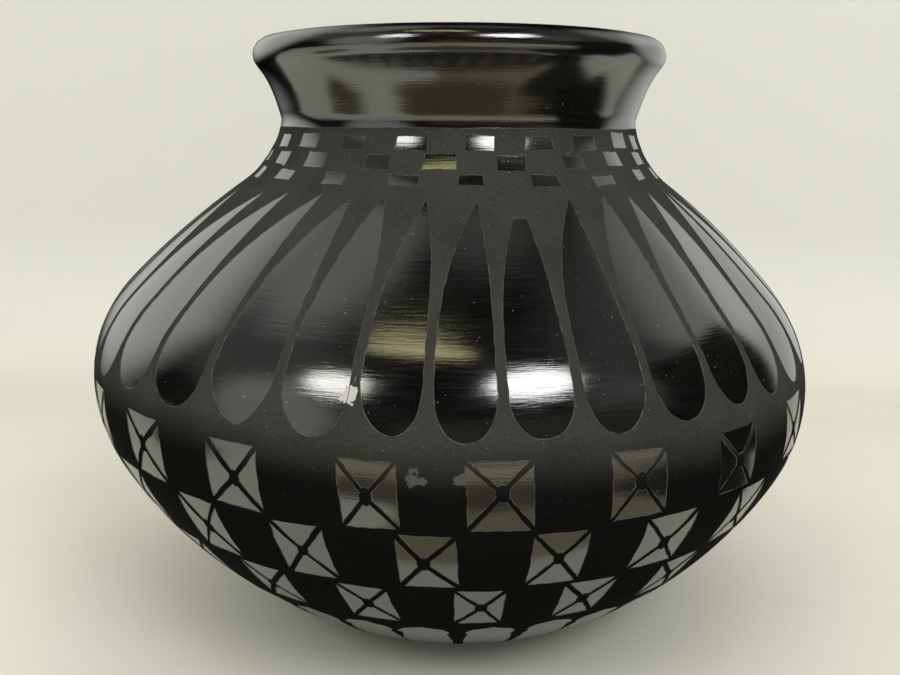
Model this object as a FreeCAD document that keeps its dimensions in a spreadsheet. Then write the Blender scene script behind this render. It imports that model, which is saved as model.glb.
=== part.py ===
"""Round-bellied olla of burnished black clay with a painted matte decoration.

The pot stands on the XY plane with its axis on Z, in millimetres. It is raised the way a potter
raises it: a bowl pressed in a mould, then rings of clay luted on edge to edge up to the lip. Four
bands of matte slip are painted over the burnished clay, and the clay shows through their windows.

Every ring and band is a body of revolution between two offsets of one outer profile. The profile
is a chain of tangent arcs, named from the foot up: base, flank, belly, shoulder, neck and lip.
"""
import FreeCAD, Part
import math
import os

import Sketcher

DIMENSIONS = [
    # The outer profile: radii of the arcs, negative where the pot curves inwards.
    ("belly_radius", 115, "largest radius of the clay"),
    ("base_arc", 81, "arc that rises from the flat foot"),
    ("flank_arc", 135, "arc under the belly"),
    ("belly_arc", 43.5, "arc round the belly"),
    ("shoulder_arc", 234, "long arc over the shoulder"),
    ("neck_arc", -24, "hollow of the neck"),
    ("lip_arc", 4.9, "outside of the lip"),
    ("lip_inner_arc", 3, "inside of the lip"),
    # The slope of the outward normal, in degrees above level, where one arc meets the next.
    ("base_angle", -54.2, "base arc to flank arc"),
    ("flank_angle", -27.9, "flank arc to belly arc"),
    ("belly_angle", 42.9, "belly arc to shoulder arc"),
    ("shoulder_angle", 54.4, "shoulder arc to neck arc"),
    ("neck_angle", -40, "neck arc to lip arc"),
    ("wall", 5.5, "thickness of the clay"),
    ("slip", 0.3, "thickness of the painted slip"),
    # Heights of the seams between the rings of clay.
    ("bowl_top", 34, "moulded bowl to lower wall"),
    ("lower_wall_top", 82, "lower wall to shoulder"),
    ("shoulder_top", 136, "shoulder to neck collar"),
    ("collar_top", 171, "neck collar to rim"),
    # Heights of the edges of the painted bands.
    ("neck_line", 159.3, "top of the neck band"),
    ("petal_band_top", 143.3, "neck band to petal band"),
    ("check_band_top", 90.4, "petal band to checkered band"),
    ("foot_band_top", 33.4, "checkered band to foot band"),
    ("foot_band_bottom", 1.4, "lower edge of the foot band"),
    # Small checks round the neck, in three rows.
    ("check_count", 22, "checks in a row, at the neck and on the belly"),
    ("neck_check_width", 7.9, "width of a neck check"),
    ("neck_check_height", 3.9, "height of a neck check"),
    ("neck_row_pitch", 4.5, "from one row of neck checks to the next"),
    ("neck_row_middle", 151.3, "height of the middle row"),
    # Petals over the shoulder.
    ("petal_count", 39, "petals round the pot"),
    ("petal_tip", 141.3, "height of a petal's point"),
    ("petal_elbow", 128, "height where its sides first steepen"),
    ("petal_elbow_half_width", 4.9, "half its width there"),
    ("petal_side", 115, "height where they steepen again"),
    ("petal_side_half_width", 6.7, "half its width there"),
    ("petal_round", 98.9, "height of the centre of its round end"),
    ("petal_half_width", 7.6, "half its width there, and its end's radius"),
    # Large crossed checks under the belly, in three rows.
    ("row_a_height", 80.3, "middle of the upper row"),
    ("row_a_tall", 17, "height of its checks"),
    ("row_a_wide", 15, "width of its checks"),
    ("row_b_height", 60.8, "middle of the second row"),
    ("row_b_tall", 18.6, "height of its checks"),
    ("row_b_wide", 13.8, "width of its checks"),
    ("row_c_height", 42, "middle of the third row"),
    ("row_c_tall", 15.6, "height of its checks"),
    ("row_c_wide", 12.9, "width of its checks"),
    ("stroke", 1.3, "width of the lines that cross a check"),
    ("dot_half", 2, "half the height of the dot on the crossing"),
    # Leaves under the foot band's edge, running in towards the foot.
    ("leaf_count", 33, "leaves round the foot"),
    ("leaf_outer", 80.2, "radius of the centre of a leaf's round end"),
    ("leaf_round", 7.2, "radius of that end"),
    ("leaf_inner", 44, "radius of a leaf's inner end"),
    ("leaf_inner_half_width", 2.8, "half its width there"),
]

ARCS = ["base", "flank", "belly", "shoulder", "neck", "lip"]
CENTRE = 3  # Sketcher's number for the centre of an arc
START = 1
END = 2

document = FreeCAD.newDocument("Olla")


def make_sheet():
    """The spreadsheet of driving dimensions, one named cell a row."""
    result = document.addObject("Spreadsheet::Sheet", "dims")
    for row, (alias, number, meaning) in enumerate(DIMENSIONS, start=1):
        result.set(f"A{row}", alias)
        result.set(f"B{row}", str(number))
        result.setAlias(f"B{row}", alias)
        result.set(f"C{row}", meaning)
    document.recompute()
    return result


sheet = make_sheet()

RADIUS = {arc: f"dims.{arc}_arc" for arc in ARCS}
JOINT = {arc: f"(dims.{arc}_angle * 1 deg)" for arc in ARCS[:-1]}


def profile_centres():
    """Expressions for the arcs' centres: x is set by the belly, z by the foot standing at zero."""
    steps = {}
    for lower, upper in zip(ARCS, ARCS[1:]):
        steps[lower] = f"({RADIUS[lower]} - {RADIUS[upper]})"
    heights = {"base": RADIUS["base"]}
    for lower, upper in zip(ARCS, ARCS[1:]):
        heights[upper] = f"{heights[lower]} + {steps[lower]} * sin({JOINT[lower]})"
    reaches = {"belly": f"dims.belly_radius - {RADIUS['belly']}"}
    for arc in ("flank", "base"):
        above = ARCS[ARCS.index(arc) + 1]
        reaches[arc] = f"{reaches[above]} - {steps[arc]} * cos({JOINT[arc]})"
    for arc in ("shoulder", "neck", "lip"):
        below = ARCS[ARCS.index(arc) - 1]
        reaches[arc] = f"{reaches[below]} + {steps[below]} * cos({JOINT[below]})"
    return reaches, heights


CENTRE_X, CENTRE_Z = profile_centres()


def value(expression):
    """An expression's number: millimetres, or degrees for an angle."""
    result = sheet.evalExpression(expression)
    return float(getattr(result, "Value", result))


def normal_at(arc, height):
    """The slope of the outward normal where an arc of the profile reaches a height."""
    return f"asin((dims.{height} - ({CENTRE_Z[arc]})) / {RADIUS[arc]})"


def new_body(label):
    body = document.addObject("PartDesign::Body", label)
    body.Label = label
    return body


def origin_feature(body, role):
    return [feature for feature in body.Origin.OriginFeatures if feature.Role == role][0]


def new_sketch(body, name, role="XZ_Plane", turn=None):
    """A sketch on one of the body's own origin planes, turned about the pot's axis if asked."""
    sketch = body.newObject("Sketcher::SketchObject", f"{body.Name}_{name}")
    sketch.AttachmentSupport = [(origin_feature(body, role), "")]
    sketch.MapMode = "FlatFace"
    if turn:
        axis = FreeCAD.Vector(0, 1, 0)
        sketch.AttachmentOffset = FreeCAD.Placement(
            FreeCAD.Vector(), FreeCAD.Rotation(axis, value(turn))
        )
        sketch.setExpression("AttachmentOffset.Rotation.Angle", turn)
    return sketch


def bind(sketch, kind, *references, to):
    """Adds a dimension to a sketch and ties it to an expression."""
    size = value(to)
    if kind == "Angle":
        size = math.radians(size)
    index = sketch.addConstraint(Sketcher.Constraint(kind, *references, size))
    sketch.setExpression(f"Constraints[{index}]", to)


def join(sketch, first, first_end, second, second_end):
    sketch.addConstraint(Sketcher.Constraint("Coincident", first, first_end, second, second_end))


def profile_point(arc, angle, offset):
    """The point on an offset of a profile arc where the outward normal has this slope."""
    reach = value(RADIUS[arc]) + value(offset)
    slope = math.radians(value(angle))
    x = value(CENTRE_X[arc]) + reach * math.cos(slope)
    z = value(CENTRE_Z[arc]) + reach * math.sin(slope)
    return FreeCAD.Vector(x, z, 0)


def add_arc(sketch, arc, lower_angle, upper_angle, offset):
    """Draws an offset of a profile arc; returns it with its lower and upper ends."""
    centre = FreeCAD.Vector(value(CENTRE_X[arc]), value(CENTRE_Z[arc]), 0)
    circle = Part.Circle(centre, FreeCAD.Vector(0, 0, 1), abs(value(RADIUS[arc]) + value(offset)))
    lower = math.radians(value(lower_angle))
    upper = math.radians(value(upper_angle))
    if value(RADIUS[arc]) > 0:
        return sketch.addGeometry(Part.ArcOfCircle(circle, lower, upper)), START, END
    return sketch.addGeometry(Part.ArcOfCircle(circle, upper + math.pi, lower + math.pi)), END, START


def add_spoke(sketch, arc, centre_of, angle, inner, outer, construction):
    """Draws a line across the wall, square to the profile."""
    ends = profile_point(arc, angle, inner), profile_point(arc, angle, outer)
    spoke = sketch.addGeometry(Part.LineSegment(*ends), construction)
    bind(sketch, "Angle", spoke, to=angle)
    sketch.addConstraint(Sketcher.Constraint("PointOnObject", centre_of, CENTRE, spoke))
    return spoke


def draw_wall(sketch, arcs, lower_angle, upper_angle, inner, outer):
    """Draws the closed outline between two offsets of a run of the profile.

    The outer arcs are tangent to each other, each inner arc shares its outer arc's centre, and a
    spoke crosses the wall at both ends and at every joint.
    """
    angles = [lower_angle] + [JOINT[arc] for arc in arcs[:-1]] + [upper_angle]
    outers = []
    inners = []
    for arc, low, high in zip(arcs, angles, angles[1:]):
        outers.append(add_arc(sketch, arc, low, high, outer))
        inners.append(add_arc(sketch, arc, low, high, inner))
        join(sketch, outers[-1][0], CENTRE, inners[-1][0], CENTRE)
        bind(sketch, "Radius", outers[-1][0], to=f"abs({RADIUS[arc]} + {outer})")
    first = outers[0][0]
    bind(sketch, "DistanceX", first, CENTRE, to=CENTRE_X[arcs[0]])
    bind(sketch, "DistanceY", first, CENTRE, to=CENTRE_Z[arcs[0]])
    bind(sketch, "Radius", inners[0][0], to=f"abs({RADIUS[arcs[0]]} + {inner})")
    for (below, _, top), (above, bottom, _) in zip(outers, outers[1:]):
        sketch.addConstraint(Sketcher.Constraint("Tangent", below, top, above, bottom))
    for index, angle in enumerate(angles):
        at_end = index in (0, len(arcs))
        arc = min(index, len(arcs) - 1)
        spoke = add_spoke(sketch, arcs[arc], outers[arc][0], angle, inner, outer, not at_end)
        if index == 0:
            join(sketch, spoke, START, inners[0][0], inners[0][1])
            join(sketch, spoke, END, outers[0][0], outers[0][1])
            continue
        join(sketch, spoke, START, inners[index - 1][0], inners[index - 1][2])
        join(sketch, spoke, END, outers[index - 1][0], outers[index - 1][2])
        if not at_end:
            join(sketch, spoke, START, inners[index][0], inners[index][1])


def revolve(body, sketch):
    revolution = body.newObject("PartDesign::Revolution", f"{body.Name}_turned")
    revolution.Profile = sketch
    revolution.ReferenceAxis = (sketch, ["V_Axis"])
    revolution.Angle = 360
    sketch.Visibility = False
    document.recompute()
    return revolution


def turned_wall(label, arcs, lower_angle, upper_angle, inner, outer):
    """A ring of clay or a band of slip: a body of revolution along a run of the profile."""
    body = new_body(label)
    sketch = new_sketch(body, "section")
    draw_wall(sketch, arcs, lower_angle, upper_angle, inner, outer)
    revolve(body, sketch)
    return body


def clay_ring(label, arcs, lower_angle, upper_angle):
    return turned_wall(label, arcs, lower_angle, upper_angle, "-dims.wall", "0")


def slip_band(label, arcs, lower_angle, upper_angle):
    return turned_wall(label, arcs, lower_angle, upper_angle, "0", "dims.slip")


def close_floor(body):
    """Closes the foot of the moulded bowl with its flat floor."""
    sketch = new_sketch(body, "floor", "XY_Plane")
    circle = Part.Circle(FreeCAD.Vector(0, 0, 0), FreeCAD.Vector(0, 0, 1), value(CENTRE_X["base"]))
    floor = sketch.addGeometry(circle)
    sketch.addConstraint(Sketcher.Constraint("Coincident", floor, CENTRE, -1, START))
    bind(sketch, "Radius", floor, to=CENTRE_X["base"])
    pad = body.newObject("PartDesign::Pad", f"{body.Name}_pad")
    pad.Profile = sketch
    pad.setExpression("Length", "dims.wall")
    document.recompute()
    return pad


def rim(label):
    """The last ring: the flared end of the neck with a rounded lip."""
    body = new_body(label)
    sketch = new_sketch(body, "section")
    seam = normal_at("neck", "collar_top")
    outer, seam_end, lip_end = add_arc(sketch, "neck", seam, JOINT["neck"], "0")
    inner, inner_seam, inner_lip = add_arc(sketch, "neck", seam, JOINT["neck"], "-dims.wall")
    lip, lip_start, lip_top = add_arc(sketch, "lip", JOINT["neck"], "90 deg", "0")
    bind(sketch, "DistanceX", outer, CENTRE, to=CENTRE_X["neck"])
    bind(sketch, "DistanceY", outer, CENTRE, to=CENTRE_Z["neck"])
    bind(sketch, "Radius", outer, to=f"abs({RADIUS['neck']})")
    join(sketch, outer, CENTRE, inner, CENTRE)
    bind(sketch, "Radius", inner, to=f"abs({RADIUS['neck']} - dims.wall)")
    spoke = add_spoke(sketch, "neck", outer, seam, "-dims.wall", "0", False)
    join(sketch, spoke, START, inner, inner_seam)
    join(sketch, spoke, END, outer, seam_end)

    joint = add_spoke(sketch, "neck", outer, JOINT["neck"], "-dims.wall", "0", True)
    join(sketch, joint, END, outer, lip_end)
    sketch.addConstraint(Sketcher.Constraint("PointOnObject", joint, START, inner))
    sketch.addConstraint(Sketcher.Constraint("Tangent", outer, lip_end, lip, lip_start))
    bind(sketch, "Radius", lip, to=RADIUS["lip"])

    drop = value("dims.lip_arc - dims.lip_inner_arc")
    centre = FreeCAD.Vector(value(CENTRE_X["lip"]), value(CENTRE_Z["lip"]) + drop, 0)
    circle = Part.Circle(centre, FreeCAD.Vector(0, 0, 1), value("dims.lip_inner_arc"))
    inside = sketch.addGeometry(Part.ArcOfCircle(circle, math.pi / 2, math.pi))
    sketch.addConstraint(Sketcher.Constraint("Tangent", lip, lip_top, inside, START))
    sketch.addConstraint(Sketcher.Constraint("Vertical", lip, CENTRE, inside, CENTRE))
    bind(sketch, "Radius", inside, to="dims.lip_inner_arc")
    edge = centre - FreeCAD.Vector(value("dims.lip_inner_arc"), 0, 0)
    foot = FreeCAD.Vector(edge.x, profile_point("neck", "-30 deg", "-dims.wall").y, 0)
    wall = sketch.addGeometry(Part.LineSegment(edge, foot))
    sketch.addConstraint(Sketcher.Constraint("Tangent", inside, END, wall, START))
    sketch.addConstraint(Sketcher.Constraint("Vertical", wall))
    join(sketch, wall, END, inner, inner_lip)
    revolve(body, sketch)
    return body


def draw_outline(sketch, corners):
    """Draws a closed polygon; each corner is a pair of expressions."""
    places = [FreeCAD.Vector(value(x), value(y), 0) for x, y in corners]
    sides = []
    for place, following in zip(places, places[1:] + places[:1]):
        sides.append(sketch.addGeometry(Part.LineSegment(place, following)))
    for side, following, (x, y) in zip(sides, sides[1:] + sides[:1], corners):
        join(sketch, side, END, following, START)
        bind(sketch, "DistanceX", side, START, to=x)
        bind(sketch, "DistanceY", side, START, to=y)


def draw_petal(sketch, round_height, radius, side_points):
    """Draws a closed outline with one round end below and sides that run up through points.

    side_points are pairs of expressions, half a width and a height; a half width of "0" is a tip.
    """
    right = [(radius, round_height)] + side_points
    mirrored = [point for point in reversed(right) if point[0] != "0"]
    corners = right + [(f"-1 * ({x})", y) for x, y in mirrored]
    places = [FreeCAD.Vector(value(x), value(y), 0) for x, y in corners]
    sides = []
    for place, following in zip(places, places[1:]):
        sides.append(sketch.addGeometry(Part.LineSegment(place, following)))
    for side, following in zip(sides, sides[1:]):
        join(sketch, side, END, following, START)
    for side, (x, y) in zip(sides, corners):
        bind(sketch, "DistanceX", side, START, to=x)
        bind(sketch, "DistanceY", side, START, to=y)
    bind(sketch, "DistanceX", sides[-1], END, to=corners[-1][0])
    bind(sketch, "DistanceY", sides[-1], END, to=corners[-1][1])
    centre = FreeCAD.Vector(0, value(round_height), 0)
    circle = Part.Circle(centre, FreeCAD.Vector(0, 0, 1), value(radius))
    arc = sketch.addGeometry(Part.ArcOfCircle(circle, math.pi, 2 * math.pi))
    join(sketch, sides[-1], END, arc, START)
    join(sketch, sides[0], START, arc, END)
    bind(sketch, "DistanceY", arc, CENTRE, to=round_height)


def cut_windows(body, sketches, count):
    """Cuts each sketch through the near side of a band of slip and repeats it round the axis."""
    pockets = []
    for number, sketch in enumerate(sketches, start=1):
        before = body.Shape.Volume
        pocket = body.newObject("PartDesign::Pocket", f"{body.Name}_window_{number}")
        pocket.Profile = sketch
        pocket.Type = "ThroughAll"
        pocket.Reversed = True
        sketch.Visibility = False
        document.recompute()
        if body.Shape.Volume >= before:
            raise RuntimeError(f"{pocket.Name} cut nothing")
        pockets.append(pocket)
    pattern = body.newObject("PartDesign::PolarPattern", f"{body.Name}_pattern")
    pattern.Originals = pockets
    pattern.Axis = (origin_feature(body, "Z_Axis"), [""])
    pattern.Angle = 360
    pattern.setExpression("Occurrences", f"dims.{count}")
    body.Tip = pattern
    document.recompute()
    return pattern


def draw_check(sketch, middle, height, width):
    """Draws one plain rectangular window."""
    low = f"{middle} - {height} / 2"
    high = f"{middle} + {height} / 2"
    left = f"-1 * {width} / 2"
    right = f"{width} / 2"
    draw_outline(sketch, [(left, low), (right, low), (right, high), (left, high)])


def draw_crossed_check(sketch, row):
    """Draws the four windows of a check that two painted diagonals and a dot divide."""
    middle = f"dims.{row}_height"
    tall = f"(dims.{row}_tall / 2)"
    wide = f"(dims.{row}_wide / 2)"
    diagonal = f"sqrt({tall}^2 + {wide}^2)"
    # How far a diagonal line's edge lies from its middle, measured level and upright.
    level = f"(dims.stroke / 2 * {diagonal} / {tall})"
    upright = f"(dims.stroke / 2 * {diagonal} / {wide})"
    far_x = f"({wide} - {level})"
    near_x = f"(dims.dot_half * {wide} / {tall} - {level})"
    far_y = f"({tall} - {upright})"
    near_y = f"(dims.dot_half * {tall} / {wide} - {upright})"
    for sign in ("1", "-1"):
        outer_y = f"{middle} + {sign} * {tall}"
        inner_y = f"{middle} + {sign} * dims.dot_half"
        outline = [(f"-1 * {far_x}", outer_y), (far_x, outer_y)]
        outline += [(near_x, inner_y), (f"-1 * {near_x}", inner_y)]
        draw_outline(sketch, outline)
        outer_x = f"{sign} * {wide}"
        inner_x = f"{sign} * dims.dot_half"
        outline = [(outer_x, f"{middle} - {far_y}"), (outer_x, f"{middle} + {far_y}")]
        outline += [(inner_x, f"{middle} + {near_y}"), (inner_x, f"{middle} - {near_y}")]
        draw_outline(sketch, outline)


def neck_check_band():
    """Three rows of small checks; the middle row stands half a pitch round from the others."""
    lower = normal_at("neck", "petal_band_top")
    body = slip_band("neck_check_slip", ["neck"], lower, normal_at("neck", "neck_line"))
    sketches = []
    for row, turn in ((-1, None), (0, "180 deg / dims.check_count"), (1, None)):
        sketch = new_sketch(body, f"checks_{row + 2}", turn=turn)
        middle = f"(dims.neck_row_middle + {row} * dims.neck_row_pitch)"
        draw_check(sketch, middle, "dims.neck_check_height", "dims.neck_check_width")
        sketches.append(sketch)
    cut_windows(body, sketches, "check_count")
    return body


def petal_band():
    """The slip between the long petals of the shoulder."""
    lower = normal_at("belly", "check_band_top")
    upper = normal_at("neck", "petal_band_top")
    body = slip_band("petal_slip", ["belly", "shoulder", "neck"], lower, upper)
    sketch = new_sketch(body, "petal")
    sides = [
        ("dims.petal_side_half_width", "dims.petal_side"),
        ("dims.petal_elbow_half_width", "dims.petal_elbow"),
        ("0", "dims.petal_tip"),
    ]
    draw_petal(sketch, "dims.petal_round", "dims.petal_half_width", sides)
    cut_windows(body, [sketch], "petal_count")
    return body


def crossed_check_band():
    """Three rows of crossed checks, each row half a pitch round from the one above."""
    lower = normal_at("flank", "foot_band_top")
    upper = normal_at("belly", "check_band_top")
    body = slip_band("crossed_check_slip", ["flank", "belly"], lower, upper)
    sketches = []
    for row, turn in (("row_a", None), ("row_b", "180 deg / dims.check_count"), ("row_c", None)):
        sketch = new_sketch(body, row, turn=turn)
        draw_crossed_check(sketch, row)
        sketches.append(sketch)
    cut_windows(body, sketches, "check_count")
    return body


def foot_leaf_band():
    """The slip between the leaves that run in under the pot."""
    lower = normal_at("base", "foot_band_bottom")
    upper = normal_at("flank", "foot_band_top")
    body = slip_band("foot_leaf_slip", ["base", "flank"], lower, upper)
    sketch = new_sketch(body, "leaf", "XY_Plane")
    sides = [("dims.leaf_inner_half_width", "-1 * dims.leaf_inner")]
    draw_petal(sketch, "-1 * dims.leaf_outer", "dims.leaf_round", sides)
    cut_windows(body, [sketch], "leaf_count")
    return body


def clay_rings():
    """The five rings of clay, from the moulded bowl up to the rim."""
    bowl = clay_ring("moulded_bowl", ["base", "flank"], "-90 deg", normal_at("flank", "bowl_top"))
    close_floor(bowl)
    lower_wall = clay_ring(
        "lower_wall",
        ["flank", "belly"],
        normal_at("flank", "bowl_top"),
        normal_at("belly", "lower_wall_top"),
    )
    shoulder = clay_ring(
        "shoulder_wall",
        ["belly", "shoulder"],
        normal_at("belly", "lower_wall_top"),
        normal_at("shoulder", "shoulder_top"),
    )
    collar = clay_ring(
        "neck_collar",
        ["shoulder", "neck"],
        normal_at("shoulder", "shoulder_top"),
        normal_at("neck", "collar_top"),
    )
    return [bowl, lower_wall, shoulder, collar, rim("flared_rim")]


def check_document(bodies):
    """Stops before anything is written if a feature failed or a body has no sound solid."""
    for thing in document.Objects:
        if {"Invalid", "Error"} & set(thing.State):
            raise RuntimeError(f"{thing.Name} failed: {thing.State}")
    for body in bodies:
        if body.Shape.isNull() or not body.Shape.isValid() or not body.Shape.Solids:
            raise RuntimeError(f"{body.Label} has no sound solid")


def main():
    bodies = clay_rings()
    bodies += [neck_check_band(), petal_band(), crossed_check_band(), foot_leaf_band()]
    for body in bodies:
        body.Placement = FreeCAD.Placement()
    document.recompute()
    check_document(bodies)
    os.makedirs("parts", exist_ok=True)
    for body in bodies:
        body.Shape.exportStep(f"parts/{body.Label}.step")
        box = body.Shape.BoundBox
        size = f"{box.XLength:.1f} x {box.YLength:.1f} x {box.ZMin:.1f} to {box.ZMax:.1f}"
        print(f"{body.Label}: {len(body.Shape.Solids)} solid, {body.Shape.Volume:.0f} mm3, {size}")


main()
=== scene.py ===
"""Looks of the burnished black olla: hand-shaped clay, painted matte slip and a soft pale studio.

Azimuths are in degrees round the pot's axis, 0 at the front (-Y) and rising towards +X. Lengths in
the pattern are millimetres, as a potter would measure them; meshes are made in metres.
"""
import math
import random

import bpy
import numpy as np
from mathutils import Matrix, Vector
from mathutils.geometry import delaunay_2d_cdt


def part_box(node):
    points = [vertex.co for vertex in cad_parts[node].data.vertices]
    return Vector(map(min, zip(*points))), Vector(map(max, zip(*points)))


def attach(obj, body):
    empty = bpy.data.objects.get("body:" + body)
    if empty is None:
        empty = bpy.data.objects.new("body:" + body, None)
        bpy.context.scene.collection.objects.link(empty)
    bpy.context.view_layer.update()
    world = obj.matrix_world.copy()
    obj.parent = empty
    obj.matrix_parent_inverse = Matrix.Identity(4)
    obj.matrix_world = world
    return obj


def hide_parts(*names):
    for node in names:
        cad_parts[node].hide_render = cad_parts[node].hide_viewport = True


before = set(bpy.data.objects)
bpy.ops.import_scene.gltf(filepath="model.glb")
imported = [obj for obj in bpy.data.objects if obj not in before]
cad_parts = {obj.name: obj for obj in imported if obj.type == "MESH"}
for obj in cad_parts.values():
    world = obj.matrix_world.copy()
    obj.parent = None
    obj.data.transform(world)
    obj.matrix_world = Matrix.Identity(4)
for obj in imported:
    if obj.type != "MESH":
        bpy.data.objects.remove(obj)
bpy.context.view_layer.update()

MM = 0.001
dice = random.Random(7)


# ---------------------------------------------------------------- the outer profile
def top_of(node):
    """Height in millimetres of a CAD node's top."""
    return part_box(node)[1].z / MM


BELLY_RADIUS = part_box("lower_wall")[1].x / MM
ARC_RADII = [81, 135, 43.5, 234, -24, 4.9]  # base, flank, belly, shoulder, neck, lip
ARC_JOINTS = [-90, -54.2, -27.9, 42.9, 54.4, -40, 90]  # slope of the normal at their ends
WALL = 5.5
LIP_INNER = 3.0


def arc_centres():
    """Centres of the profile's tangent arcs: x is set by the belly, z by the foot at zero."""
    places = [np.array([0.0, ARC_RADII[0]])]
    for radius, following, joint in zip(ARC_RADII, ARC_RADII[1:], ARC_JOINTS[1:]):
        slope = math.radians(joint)
        step = (radius - following) * np.array([math.cos(slope), math.sin(slope)])
        places.append(places[-1] + step)
    shift = BELLY_RADIUS - ARC_RADII[2] - places[2][0]
    return [place + np.array([shift, 0.0]) for place in places]


CENTRES = arc_centres()


class Profile:
    """The outer profile as a curve of arc length, with its outward normal."""

    def __init__(self):
        self.starts = [CENTRES[0][0]]
        for radius, low, high in zip(ARC_RADII, ARC_JOINTS, ARC_JOINTS[1:]):
            self.starts.append(self.starts[-1] + abs(radius * math.radians(high - low)))
        self.samples = np.linspace(0.0, self.starts[-1], 4000)
        self.heights = self.at(self.samples)[0][:, 1]

    def at(self, lengths):
        """Points (radius, height) and normals at arc lengths from the middle of the foot."""
        lengths = np.asarray(lengths, dtype=float)
        points = np.stack([np.maximum(lengths, 0.0), np.zeros_like(lengths)], axis=-1)
        normals = np.zeros_like(points)
        normals[..., 1] = -1.0
        for index, (radius, centre) in enumerate(zip(ARC_RADII, CENTRES)):
            inside = lengths >= self.starts[index]
            turn = (lengths[inside] - self.starts[index]) / radius
            slope = math.radians(ARC_JOINTS[index]) + turn
            normal = np.stack([np.cos(slope), np.sin(slope)], axis=-1)
            points[inside] = centre + radius * normal
            normals[inside] = normal
        return points, normals

    def length_at(self, height):
        """Arc length where the outside reaches a height."""
        return np.interp(height, self.heights, self.samples)


profile = Profile()


# ---------------------------------------------------------------- the hand-made shape
LUMP_COUNT = 14
LUMPS = []  # (depth mm, waves round, radians per mm up, phase round, phase up)
for _ in range(LUMP_COUNT):
    waves = dice.randint(2, 9)
    upright = dice.uniform(0.03, 0.16)
    depth = dice.uniform(0.04, 0.10) * 6 / (waves + 4)
    LUMPS.append((depth, waves, upright, dice.uniform(0, 6.3), dice.uniform(0, 6.3)))

FOOT_TOP = 18  # mm; below it the foot comes to stand flat on the floor
LEAN = 1.3  # mm that the pot leans towards -X from LEAN_TOP up
LEAN_TOP = 60
BELLY_LEAN = (2.4, 105, 32)  # mm more, at this height, and how far up and down it fades
PINCHES = ((1.2, 159.5, 7), (0.35, 161.5, 2.2))  # the same for what the neck is drawn in
OVAL = 0.006  # how far out of round the pot is, as a part of its radius
OVAL_PHASE = 0.6
OVAL_RADIUS = 60  # mm; nearer the axis the oval fades
PINCH_RADIUS = 40
TILT = 0.5  # mm that the rim rises and falls
TILT_PHASE = 0.8
TILT_START = 140  # mm, where the tilt starts, and how far up it is complete
TILT_RISE = 40


def smooth(x):
    """Rises gently from 0 to 1 as x does, and holds there."""
    x = np.clip(x, 0.0, 1.0)
    return x * x * (3 - 2 * x)


def fading(height, depth, middle, reach):
    """A depth at a middle height, which fades away above and below it."""
    return depth * np.exp(-(((height - middle) / reach) ** 2))


def place(azimuth, radius, height):
    """Metres of a point given in degrees and millimetres, with the potter's unevenness."""
    turn = np.radians(azimuth)
    settled = smooth(height / FOOT_TOP)
    lean = LEAN * smooth(height / LEAN_TOP) + fading(height, *BELLY_LEAN)
    swell = 0.0
    for depth, waves, upright, phase_round, phase_up in LUMPS:
        swell = swell + depth * np.sin(waves * turn + phase_round) * np.sin(upright * height + phase_up)
    oval = OVAL * np.cos(2 * turn + OVAL_PHASE) * np.minimum(radius / OVAL_RADIUS, 1)
    pinch = sum(fading(height, *drawn_in) for drawn_in in PINCHES)
    reach = radius * (1 + oval * settled) + swell * settled - pinch * np.minimum(radius / PINCH_RADIUS, 1)
    tilt = TILT * smooth((height - TILT_START) / TILT_RISE) * np.sin(turn + TILT_PHASE)
    x = reach * np.sin(turn) - lean
    y = -reach * np.cos(turn)
    return np.stack([x, y, height + tilt], axis=-1) * MM


def place_facing(azimuth, points, normals):
    """Metres and unit normals of points on a turned surface with these section normals."""
    step = 0.02  # mm and degrees, over which the slopes are measured
    nothing = 1e-16  # a cross product this small, on the axis, has no direction
    along = np.stack([-normals[..., 1], normals[..., 0]], axis=-1) * step
    ahead = place(azimuth, points[..., 0] + along[..., 0], points[..., 1] + along[..., 1])
    behind = place(azimuth, points[..., 0] - along[..., 0], points[..., 1] - along[..., 1])
    right = place(azimuth + step, points[..., 0], points[..., 1])
    left = place(azimuth - step, points[..., 0], points[..., 1])
    facing = np.cross(right - left, ahead - behind)
    size = np.linalg.norm(facing, axis=-1, keepdims=True)
    flat = size[..., 0] < nothing
    facing = facing / np.maximum(size, nothing)
    facing[flat] = (0, 0, 1)
    facing[flat, 2] = np.sign(normals[..., 1])[flat]
    return place(azimuth, points[..., 0], points[..., 1]), facing


def new_mesh(name, points, faces, loop_normals, face_materials):
    """A mesh object with smooth faces and the given normal at every face corner."""
    mesh = bpy.data.meshes.new(name)
    mesh.from_pydata(points.tolist(), [], faces)
    mesh.polygons.foreach_set("material_index", face_materials)
    mesh.polygons.foreach_set("use_smooth", [True] * len(mesh.polygons))
    mesh.normals_split_custom_set(loop_normals)
    thing = bpy.data.objects.new(name, mesh)
    bpy.context.collection.objects.link(thing)
    return thing


# ---------------------------------------------------------------- rings of clay
TURN_STEPS = 360
GRAIN = 2.0  # mm between the rings of a turned mesh
LIP_STEPS = 10  # points round the lip's inner edge, and in the hollow under it
HOLLOW_STEPS = 12


def run_between(low, high, lift):
    """Points and normals along an offset of the profile, from one arc length to another."""
    count = max(2, int(abs(high - low) / GRAIN) + 2)
    points, normals = profile.at(np.linspace(low, high, count))
    points = points + lift * normals
    points[:, 0] = np.maximum(points[:, 0], 0)
    return points, normals if lift >= 0 else -normals


def straight_run(start, end):
    """Points and normals along a straight line of the section, with the clay on its left."""
    along = (end - start) / np.linalg.norm(end - start)
    count = max(2, int(np.linalg.norm(end - start) / GRAIN) + 2)
    points = start + np.linspace(0, 1, count)[:, None] * (end - start)
    return points, np.tile([along[1], -along[0]], (count, 1))


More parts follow.
